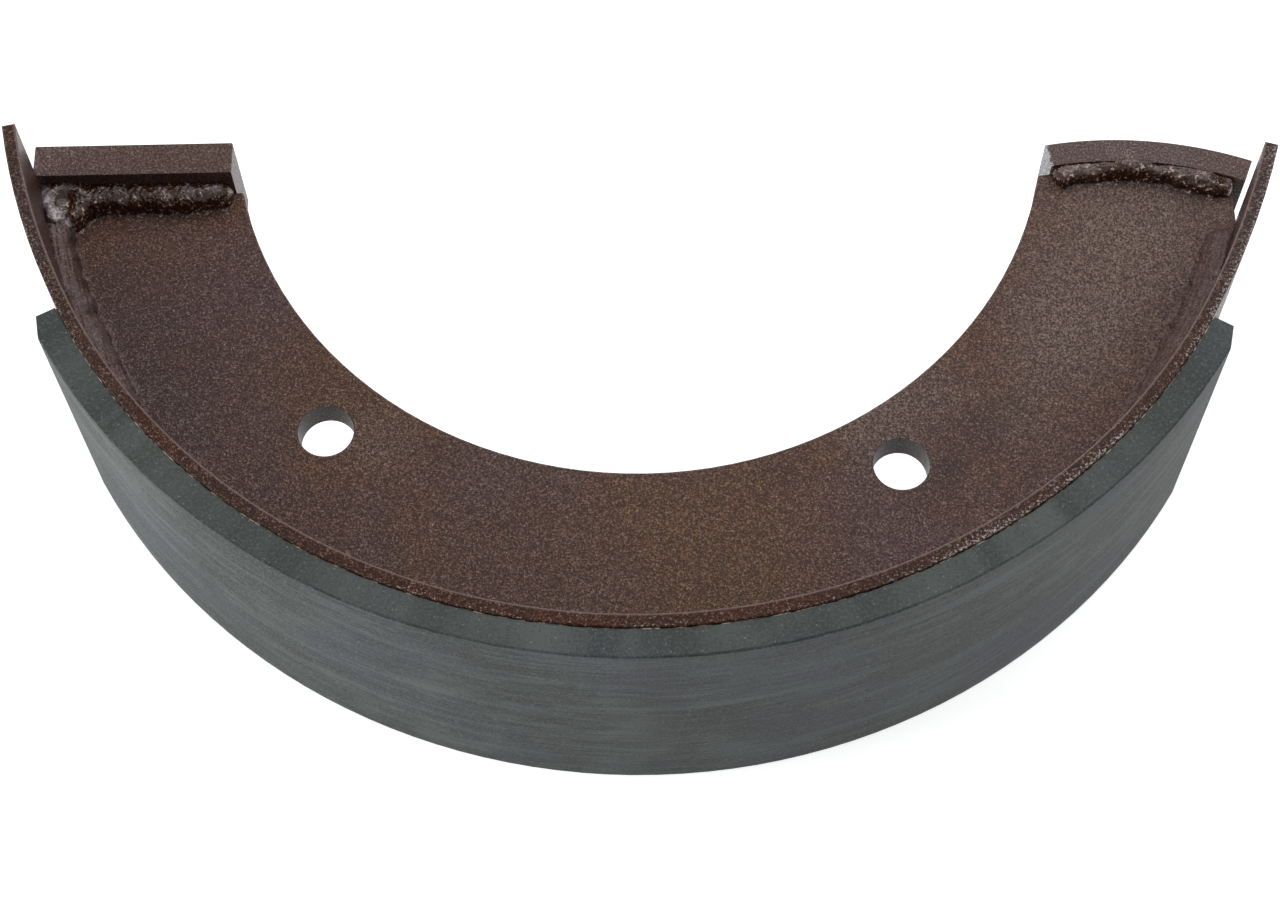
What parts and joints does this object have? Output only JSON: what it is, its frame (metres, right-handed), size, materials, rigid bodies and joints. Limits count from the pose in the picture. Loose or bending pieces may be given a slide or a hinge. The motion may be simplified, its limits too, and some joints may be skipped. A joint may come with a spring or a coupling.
{
  "type": "brake shoe",
  "caption": "Welded drum brake shoe: curved rim with a bonded friction lining outside, a flat web with plain holes inside, and a flat and a bent abutment on the web's ends.",
  "frame": {"origin": "on the drum's axis, level with the rim's lower edge", "axes": "+Z along the drum's axis, -Y towards the crown of the shoe, +X towards the bent end plate"},
  "size_m": [0.3843, 0.1873, 0.1],
  "materials": {
    "primed_steel": "satin primer",
    "weld_metal": "primed weld bead",
    "friction_lining": "matt moulded friction material",
    "adhesive": "cured adhesive"
  },
  "bodies": {
    "root": {"rim": "primed_steel", "web": "primed_steel", "flat_end_block": "primed_steel", "bent_end_plate": "primed_steel", "lining": "friction_lining", "bond_layer": "adhesive", "flat_block_weld_upper": "weld_metal", "flat_block_weld_lower": "weld_metal", "bent_plate_weld_upper": "weld_metal", "bent_plate_weld_lower": "weld_metal", "flat_end_rim_weld_upper": "weld_metal", "flat_end_rim_weld_lower": "weld_metal", "bent_end_rim_weld_upper": "weld_metal", "bent_end_rim_weld_lower": "weld_metal", "crown_rim_weld_upper": "weld_metal", "crown_rim_weld_lower": "weld_metal"}
  },
  "joints": []
}
